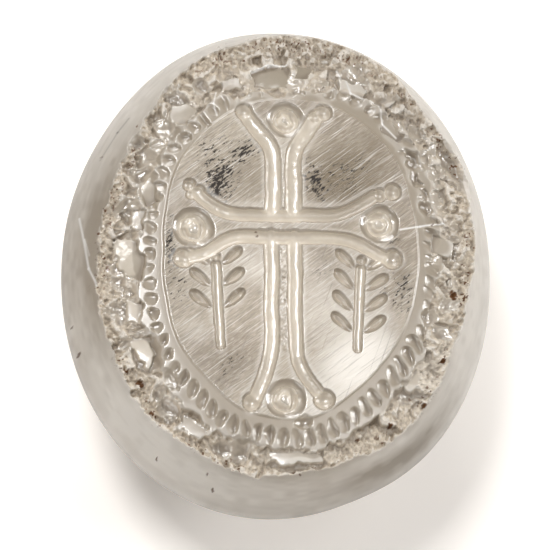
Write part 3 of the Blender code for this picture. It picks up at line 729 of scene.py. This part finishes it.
def stone_mesh():
    """The stone above its widest line: headings, points and what the material reads there."""
    share, turn = stone_grid()
    flat = share <= FACE_SHARE
    t = np.clip((share - FACE_SHARE) / (1.0 - FACE_SHARE), 0.0, 1.0)
    top = math.asin(EDGE_RISE / SHOULDER_RADIUS)
    lean = top * (1.0 - t**1.2)
    inset = SHOULDER_RADIUS * (1.0 - np.cos(lean))
    on_face = outline_radius(EDGE_INSET, turn) * share / FACE_SHARE
    radius = np.where(flat, on_face, outline_radius(inset, turn))
    x, y = radius * np.cos(turn), radius * np.sin(turn)
    ground = np.maximum(face_height(x, y), DEPTH - BORDER_DROP)
    z = np.where(flat, ground, GIRDLE + SHOULDER_RADIUS * np.sin(lean))

    depth, figure_depth = engraved_depth(x, y)
    z = z - depth
    chatter = noise(x, y, 0.16, 15) * 0.006 + noise(x, y, 0.45, 16) * 0.014
    z = z + chatter * smoothstep(0.02, 0.12, depth)

    # The rough strip left between the two rods of the shaft
    strip = smoothstep(0.3, 0.14, np.abs(x + 0.12)) * smoothstep(0.75, 0.55, y)
    strip = strip * smoothstep(-4.4, -4.1, y) * smoothstep(0.16, 0.05, depth)
    z = z + strip * (facets(x, y, 0.16, 31, 0.35, 0.02) - 0.05)

    # The worn band with its flakes, chips and grit
    worn_inset, outer, inner = worn_parts(x, y)
    t = (worn_inset - outer) / (inner - outer)
    band = smoothstep(0.0, 0.035, t) * smoothstep(1.0, 0.93, t)
    surface = worn_height(x, y)
    z = np.where((t > 0.0) & (t < 1.0), np.minimum(z, surface * band + z * (1.0 - band)), z)
    glassy = np.zeros_like(z)
    for place in FLAKES:
        flake(z, glassy, x, y, place, 0.012)
    scatter_flakes(z, glassy, x, y)
    pale = np.zeros_like(z)
    for place in SLABS:
        slab(z, glassy, pale, x, y, place)
    grit, coarse, fine = broken_relief(x, y, turn, t)
    rough = (1.0 - 0.9 * glassy) * (1.0 - np.minimum(1.0, 4.0 * np.abs(pale)))
    z = z + band * rough * (grit - 0.04)
    z = np.minimum(z, DEPTH)
    shell = np.clip(glassy + 0.85 * coarse * (1.0 - 0.8 * fine), 0.0, 1.0)
    attributes = {
        "worn": band,
        "shell": shell,
        "pale": pale,
        "cut": np.clip(figure_depth / FULL_CUT, 0.0, 1.0),
        "outside": np.clip(field_distance(x, y), -FAR_OUT, FAR_OUT),
        "hollow": np.clip(hollowness(z) / FULL_HOLLOW, -1.5, 1.5),
        "soil": soil_marks(x, y, t),
        "patch": blobs(x, y, PATCHES, 0.9),
        # Painted light and shade on the field, the face round it and the worn band
        "painted_light_shade": blobs(x, y, PAINTED_LIGHT_PLACES, 1.0) - blobs(x, y, PAINTED_SHADE_PLACES, 1.0),
        "hair": hairlines(x, y),
        # Painted light and shade on the shoulder, partly its cloudiness
        "shoulder_shading": shoulder_light_and_shade(worn_inset, turn),
    }
    return turn, np.column_stack([x, y, z]), attributes


def dome_rings(turn):
    """The points of each ring of the domed back, from the widest line down to the resting flat."""
    start = math.asin(BACK_FLAT_WIDTH / WIDTH)
    reach = GIRDLE / math.cos(start)
    rings = []
    for step in range(1, DOME_RINGS + 1):
        angle = math.pi / 2.0 - (math.pi / 2.0 - start) * step / DOME_RINGS
        radius = math.sin(angle) * outline_radius(0.0, turn)
        height = max(GIRDLE - reach * math.cos(angle), 0.0)
        x, y = radius * np.cos(turn), radius * np.sin(turn)
        rings.append(np.column_stack([x, y, np.full(turn.shape, height)]))
    return rings


def into_scene(name, data):
    """A new object in the scene."""
    obj = bpy.data.objects.new(name, data)
    bpy.context.scene.collection.objects.link(obj)
    return obj


def crystal():
    """The whole stone as one closed mesh, with what the material reads at each vertex."""
    turn, top, attributes = stone_mesh()
    n = CELLS + 1
    index = np.arange(n * n).reshape(n, n)
    quads = np.stack([index[:-1, :-1], index[:-1, 1:], index[1:, 1:], index[1:, :-1]], -1)
    rim = np.concatenate([index[0, :-1], index[:-1, -1], index[-1, :0:-1], index[:0:-1, 0]])
    rings = dome_rings(turn[rim])
    points = np.vstack([top] + rings) * MM
    points = np.clip(points, np.array(cad_low), np.array(cad_high))
    count = len(rim)
    upper = rim
    all_quads = [quads.reshape(-1, 4)]
    for number in range(DOME_RINGS):
        lower = n * n + number * count + np.arange(count)
        all_quads.append(np.stack([upper, lower, np.roll(lower, -1), np.roll(upper, -1)], -1))
        upper = lower
    quads = np.vstack(all_quads)
    mesh = bpy.data.meshes.new("engraved_crystal")
    corners = np.concatenate([quads.ravel(), upper[::-1]]).astype(np.int32)
    starts = np.append(np.arange(len(quads)) * 4, len(quads) * 4).astype(np.int32)
    mesh.vertices.add(len(points))
    mesh.vertices.foreach_set("co", points.astype(np.float32).ravel())
    mesh.loops.add(len(corners))
    mesh.loops.foreach_set("vertex_index", corners)
    mesh.polygons.add(len(starts))
    mesh.polygons.foreach_set("loop_start", starts)
    mesh.update(calc_edges=True)
    mesh.validate()
    # On the dome the shoulder's painted light goes on and fades into painted shade towards the
    # bottom
    down = np.repeat(np.arange(1, DOME_RINGS + 1) / DOME_RINGS, count)
    fade = (1.0 - 0.7 * smoothstep(0.0, 0.8, down)) * (1.0 - 0.4 * smoothstep(0.06, 0.22, down))
    dome_shading = shoulder_light_and_shade(-1.2 * down, np.tile(turn[rim], DOME_RINGS)) * fade
    on_dome = {"outside": FAR_OUT, "shoulder_shading": dome_shading}
    for name, values in attributes.items():
        full = np.zeros(len(points), np.float32)
        full[: n * n] = values
        full[n * n:] = on_dome.get(name, 0.0)
        layer = mesh.attributes.new(name, "FLOAT", "POINT")
        layer.data.foreach_set("value", full)
    mesh.shade_smooth()
    return into_scene("engraved_crystal", mesh)


class Nodes:
    """Short ways to make a material out of shader nodes."""

    def __init__(self, name):
        self.material = bpy.data.materials.new(name)
        self.material.use_nodes = True
        self.tree = self.material.node_tree
        self.shader = self.tree.nodes["Principled BSDF"]

    def new(self, kind):
        return self.tree.nodes.new("ShaderNode" + kind)

    def fill(self, node, inputs):
        """Gives a node's inputs a value or another node's output."""
        for slot, value in inputs.items():
            if isinstance(value, bpy.types.NodeSocket):
                self.tree.links.new(value, node.inputs[slot])
            else:
                node.inputs[slot].default_value = value

    def attribute(self, name):
        node = self.new("Attribute")
        node.attribute_name = name
        return node.outputs["Fac"]

    def object_place(self):
        """Places on the stone's axes, in millimetres."""
        node = self.new("VectorMath")
        node.operation = "SCALE"
        self.fill(node, {0: self.new("TexCoord").outputs["Object"], "Scale": 1000.0})
        return node.outputs[0]

    def mapped(self, place, turn, scale):
        node = self.new("Mapping")
        node.vector_type = "TEXTURE"
        rotation = (0.0, 0.0, math.radians(turn))
        self.fill(node, {"Vector": place, "Rotation": rotation, "Scale": scale})
        return node.outputs["Vector"]

    def noise(self, place, scale, detail=2.0, roughness=0.5):
        node = self.new("TexNoise")
        self.fill(node, {"Vector": place, "Scale": scale, "Detail": detail, "Roughness": roughness})
        return node.outputs["Fac"]

    def span(self, value, low, high, to_low=0.0, to_high=1.0):
        """A value carried smoothly from one range to another and held at its ends."""
        node = self.new("MapRange")
        node.interpolation_type = "SMOOTHSTEP"
        self.fill(node, {"Value": value, "From Min": low, "From Max": high,
                         "To Min": to_low, "To Max": to_high})
        return node.outputs["Result"]

    def either_side(self, value):
        """How far a value is above 0, and how far below it."""
        return self.span(value, 0.0, 1.0), self.span(value, 0.0, -1.0)

    def maths(self, operation, first, second):
        node = self.new("Math")
        node.operation = operation
        self.fill(node, {0: first, 1: second})
        return node.outputs[0]

    def plus(self, first, second):
        return self.maths("ADD", first, second)

    def times(self, first, second):
        return self.maths("MULTIPLY", first, second)

    def larger(self, first, second):
        return self.maths("MAXIMUM", first, second)

    def dimmed(self, value, by, left, low=0.0, high=1.0):
        """A value brought down to a share of it, as another rises from low to high."""
        return self.times(value, self.span(by, low, high, 1.0, left))

    def mix(self, share, first, second):
        node = self.new("Mix")
        node.data_type = "RGBA"
        first, second = ((*c, 1.0) if isinstance(c, tuple) else c for c in (first, second))
        self.fill(node, {0: share, 6: first, 7: second})
        return node.outputs[2]

    def layers(self, colour, others):
        """A colour with others laid over it in turn, each by its share."""
        for share, over in others:
            colour = self.mix(share, colour, over)
        return colour

    def bump(self, height, distance, strength):
        node = self.new("Bump")
        self.fill(node, {"Height": height, "Distance": distance * MM, "Strength": strength})
        return node.outputs["Normal"]


# How much of each zone is clear crystal
CLEAR_FACE, CLEAR_SHOULDER, CLEAR_WORN = 0.35, 0.55, 0.55
# How strongly hollows get painted shade and ridges painted highlight: in the field, hollows outside
# it, worn ridges
TINT, TINT_OUTSIDE, TINT_WORN = 0.24, 0.5, 0.4
QUARTZ_IOR = 1.544
COAT_ROUGHNESS = 0.08
# Heading in degrees of the scratches that grinding left, and where the field's edge lies
GRINDING = 38.0
FIELD_EDGE = (-0.1, 0.05)

# Colours, in pairs: the shoulder in painted shade and painted light, partly smoky and cloudy, the
# face plain and dark, and so on
SHADED_SMOKY, LIT_CLOUDY = (0.36, 0.305, 0.24), (1.0, 0.945, 0.865)
FACE_PLAIN, FACE_DARK = (0.37, 0.315, 0.245), (0.3, 0.25, 0.19)
CUT_FLOOR, CUT_WALL_SHADE = (0.76, 0.68, 0.56), (0.17, 0.135, 0.095)
FIELD_DIM, FIELD_FAIR = (0.35, 0.29, 0.22), (0.5, 0.435, 0.345)
BRUSH_PALE, BRUSH_DARK = (0.8, 0.74, 0.65), (0.17, 0.14, 0.105)
FIELD_PALE, FIELD_DARK = (1.0, 0.95, 0.87), (0.2, 0.155, 0.1)
LINE_PALE, LINE_DARK = (0.92, 0.88, 0.82), (0.22, 0.19, 0.16)
GRIT_BROWN, GRIT_CREAM = (0.36, 0.285, 0.2), (0.63, 0.535, 0.41)
WORN_PALE, WORN_DARK = (0.98, 0.91, 0.8), (0.23, 0.18, 0.125)
SLAB_CREAM, SLAB_GREY = (0.6, 0.53, 0.43), (0.22, 0.185, 0.135)
PAINTED_RIDGE_HIGHLIGHT, PAINTED_HOLLOW_SHADE = (0.95, 0.91, 0.85), (0.16, 0.12, 0.085)
HAIR_PALE, HAIR_DARK = (0.98, 0.96, 0.93), (0.1, 0.08, 0.06)
SHELL, PAINTED_REFLECTION_DARK, SOIL_BROWN = (0.66, 0.58, 0.475), (0.04, 0.034, 0.03), (0.1, 0.045, 0.018)


def crystal_material():
    """Brushed field, paler cuts, gravelly worn band and streaked shoulder."""
    nodes = Nodes("rock_crystal")
    span, dimmed, mapped = nodes.span, nodes.dimmed, nodes.mapped
    plus, times, larger = nodes.plus, nodes.times, nodes.larger
    worn, outside, hollow, cut = map(nodes.attribute, ("worn", "outside", "hollow", "cut"))
    patch, shoulder_shading, shell, soil = map(nodes.attribute, ("patch", "shoulder_shading", "shell", "soil"))
    # Painted light and painted shade from the mapped places
    painted_light, painted_shade = nodes.either_side(nodes.attribute("painted_light_shade"))
    creamy, greyish = nodes.either_side(nodes.attribute("pale"))
    bright_hair, dark_hair = nodes.either_side(nodes.attribute("hair"))
    flat_place = larger(creamy, greyish)
    gritty = dimmed(worn, shell, 0.0)
    in_field = span(outside, 0.1, -0.05)
    field = times(in_field, span(cut, 0.15, 0.02))
    shoulder = times(span(outside, 1.6, 3.2), span(worn, 0.9, 0.1))

    # Hairline scratches from the lower left to the upper right, and a few steeper ones
    place = nodes.object_place()
    fine = nodes.noise(mapped(place, GRINDING, (2.2, 0.065, 1.0)), 1.0)
    coarse = nodes.noise(mapped(place, 33.0, (4.5, 0.13, 1.0)), 1.0, 3.0, 0.6)
    steep = nodes.noise(mapped(place, 70.0, (3.5, 0.1, 1.0)), 1.0)
    bright_lines = plus(span(fine, 0.58, 0.7), span(coarse, 0.6, 0.7))
    dark_lines = plus(span(fine, 0.44, 0.34), span(steep, 0.36, 0.28))
    cloud = nodes.noise(place, 0.35, 3.0)
    speck = nodes.noise(place, 4.5, 3.0, 0.7)
    mottle = nodes.noise(mapped(place, GRINDING, (1.8, 0.7, 1.0)), 6.5, 3.0, 0.7)
    grain = nodes.noise(place, 9.0, 2.0, 0.6)
    brush = nodes.noise(mapped(place, GRINDING, (3.2, 0.55, 1.0)), 9.0, 2.0, 0.6)

    # The face outside the field, with painted shade along the walls of its cuts, and the shoulder
    wall = times(span(cut, 0.02, 0.2), span(cut, 0.75, 0.35))
    face = nodes.layers(FACE_PLAIN, (
        # The face dimmed by painted shade
        (cut, CUT_FLOOR), (times(painted_shade, 0.75), FACE_DARK), (times(wall, 0.55), CUT_WALL_SHADE)))
    # The shoulder between painted shade and painted light
    base = nodes.mix(shoulder, face, nodes.mix(shoulder_shading, SHADED_SMOKY, LIT_CLOUDY))

    # The brushed field, with dark marks of painted reflection, dulled there
    mottled = plus(mottle, times(patch, 0.24))
    reflection_marks = times(span(patch, 0.02, 0.14), span(mottled, 0.6, 0.68))
    brushed = nodes.layers(nodes.mix(span(cloud, 0.38, 0.62), FIELD_DIM, FIELD_FAIR), (
        (span(brush, 0.5, 0.7, 0.0, 0.36), BRUSH_PALE),
        (span(brush, 0.5, 0.3, 0.0, 0.36), BRUSH_DARK),
        # Painted light and painted shade on the brushed field
        (painted_light, FIELD_PALE), (painted_shade, FIELD_DARK),
        (times(bright_lines, 0.5), LINE_PALE), (times(dark_lines, 0.38), LINE_DARK),
        (reflection_marks, PAINTED_REFLECTION_DARK)))
    dull = times(reflection_marks, field)

    # The worn band: gravel, shells and flat places
    gravel = nodes.layers(nodes.mix(span(speck, 0.35, 0.65), GRIT_BROWN, GRIT_CREAM), (
        # Painted shade and painted light on the worn band
        (shell, SHELL), (times(painted_shade, 0.7), WORN_DARK), (times(painted_light, 0.6), WORN_PALE),
        (creamy, SLAB_CREAM), (greyish, SLAB_GREY)))

    # Over all: painted shade in hollows, painted highlight on ridges, hairlines and soil
    hollow_shade = dimmed(span(outside, 0.1, 0.5, TINT, TINT_OUTSIDE), shoulder, 0.0, 0.0, 0.6)
    ridge_highlight = dimmed(span(worn, 0.2, 0.9, TINT, TINT_WORN), shoulder, 0.0, 0.0, 0.6)
    base = nodes.layers(base, (
        (field, brushed), (times(worn, 0.85), gravel),
        (times(span(hollow, 0.15, 0.9), hollow_shade), PAINTED_HOLLOW_SHADE),
        (times(span(hollow, -0.15, -0.9), ridge_highlight), PAINTED_RIDGE_HIGHLIGHT),
        (bright_hair, HAIR_PALE), (dark_hair, HAIR_DARK), (span(soil, 0.05, 0.8), SOIL_BROWN)))

    cloudy = dimmed(shoulder, shoulder_shading, 0.75)
    clear = span(cloudy, 0.0, 1.0, CLEAR_FACE, CLEAR_SHOULDER)
    clear = larger(clear, times(worn, CLEAR_WORN))
    for by, left in ((gritty, 0.45), (creamy, 0.5), (greyish, 0.15), (dull, 0.02)):
        clear = dimmed(clear, by, left)
    clear = dimmed(clear, soil, 0.1, 0.0, 0.5)

    roughness = span(in_field, 0.0, 1.0, 0.14, 0.2)
    for amount, more in ((span(shoulder, 0.0, 1.0), 0.2), (gritty, 0.26), (flat_place, 0.22),
                         (cut, 0.11), (span(outside, *FIELD_EDGE), 0.15)):
        roughness = plus(roughness, times(amount, more))

    coat = dimmed(span(outside, *FIELD_EDGE, 0.6, 0.16), gritty, 0.15)
    coat = dimmed(coat, cut, 0.5, 0.05, 0.6)
    glints = times(span(speck, 0.42, 0.54), times(worn, shell))
    coat = larger(coat, glints)
    coat = dimmed(dimmed(coat, dull, 0.02), flat_place, 0.3)
    coat = dimmed(coat, soil, 0.0, 0.0, 0.6)

    stained = larger(larger(dull, soil), times(flat_place, 0.7))
    relief = times(plus(fine, coarse), field)
    relief = plus(relief, times(times(grain, cut), 0.5))
    nodes.fill(nodes.shader, {
        "Base Color": base, "Transmission Weight": clear, "Roughness": roughness, "IOR": QUARTZ_IOR,
        "Specular IOR Level": span(stained, 0.0, 1.0, 1.0, 0.1),
        "Coat Weight": coat, "Coat Roughness": COAT_ROUGHNESS,
        "Normal": nodes.bump(relief, 0.03, 0.7)})
    return nodes.material


# The white ground: half its size in metres, its colour by lamplight and to the camera, and how
# it glows to the camera and through the crystal
FLOOR_HALF = 0.4
FLOOR_LIT, FLOOR_SEEN = (0.8, 0.79, 0.77), (1.0, 0.96, 0.92)
FLOOR_GLOW_COLOUR = (1.0, 0.93, 0.85, 1.0)
FLOOR_GLOW = 0.14
FLOOR_GLOW_THROUGH = 0.85
WORLD_LIGHT = 0.15
# Lamps: name, place, size and power. Each of them points at LAMP_AIM
LAMPS = (
    ("overhead", (-50, 35, 180), (42, 42), 0.205), ("top", (-35, 150, 90), (80, 50), 0.14),
    ("side", (150, 20, 80), (60, 60), 0.152), ("fill", (-110, -120, 90), (80, 80), 0.062),
    ("sheen", (50, 10, 190), (40, 40), 0.024),
)
LAMP_AIM = (0, 0, 8)
# The camera: the way to it from the stone, how far off it is, its aim's shift, lens and sensor
CAMERA_WAY = (-0.1198, -0.2351, 0.9646)
CAMERA_AWAY = 137.7
AIM_LEFT, AIM_DOWN = 0.068, 0.09
LENS, SENSOR = 200.0, 36.0


def floor():
    """White ground, which lamps light a little less than the camera sees it."""
    mesh = bpy.data.meshes.new("floor")
    corners = ((-1, -1), (1, -1), (1, 1), (-1, 1))
    mesh.from_pydata([(x * FLOOR_HALF, y * FLOOR_HALF, 0) for x, y in corners], [], [(0, 1, 2, 3)])
    nodes = Nodes("floor")
    ray = nodes.new("LightPath").outputs
    seen = nodes.times(nodes.larger(ray["Is Camera Ray"], ray["Is Glossy Ray"]), FLOOR_GLOW)
    through = nodes.times(ray["Is Transmission Ray"], FLOOR_GLOW_THROUGH)
    nodes.fill(nodes.shader, {
        "Roughness": 1.0, "Specular IOR Level": 0.0,
        "Base Color": nodes.mix(ray["Is Camera Ray"], FLOOR_LIT, FLOOR_SEEN),
        "Emission Color": FLOOR_GLOW_COLOUR, "Emission Strength": nodes.larger(seen, through)})
    mesh.materials.append(nodes.material)
    into_scene("floor", mesh)


def area_lamp(name, place, size, power):
    """A rectangular lamp that points at LAMP_AIM."""
    data = bpy.data.lights.new(name, "AREA")
    data.shape = "RECTANGLE"
    data.size, data.size_y = size[0] * MM, size[1] * MM
    data.energy = power
    lamp = into_scene(name, data)
    lamp.location = Vector(place) * MM
    lamp.rotation_euler = (Vector(LAMP_AIM) - Vector(place)).to_track_quat("-Z", "Y").to_euler()


def world():
    """A dim white surrounding."""
    data = bpy.data.worlds.new("studio")
    data.use_nodes = True
    inputs = data.node_tree.nodes["Background"].inputs
    inputs["Color"].default_value = (1.0, 1.0, 1.0, 1.0)
    inputs["Strength"].default_value = WORLD_LIGHT
    bpy.context.scene.world = data


def camera():
    """Leans to the lower left, 15.3 degrees off straight down, with the top of the design up."""
    out = Vector(CAMERA_WAY).normalized()
    right = (-out).cross(Vector((0.0, 1.0, 0.0))).normalized()
    up = right.cross(-out)
    aim = Vector((0.0, 0.0, GIRDLE)) - right * AIM_LEFT - up * AIM_DOWN
    data = bpy.data.cameras.new("camera")
    data.lens, data.sensor_width = LENS, SENSOR
    data.clip_start, data.clip_end = 0.01, 10.0
    obj = into_scene("camera", data)
    turn = Matrix((right, up, out)).transposed().to_4x4()
    obj.matrix_world = Matrix.Translation((aim + out * CAMERA_AWAY) * MM) @ turn
    bpy.context.scene.camera = obj


bpy.context.scene.view_settings.view_transform = "Standard"
stone = crystal()
stone.data.materials.append(crystal_material())
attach(stone, "root")
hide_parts("seal_stone")
floor()
world()
for lamp in LAMPS:
    area_lamp(*lamp)
camera()
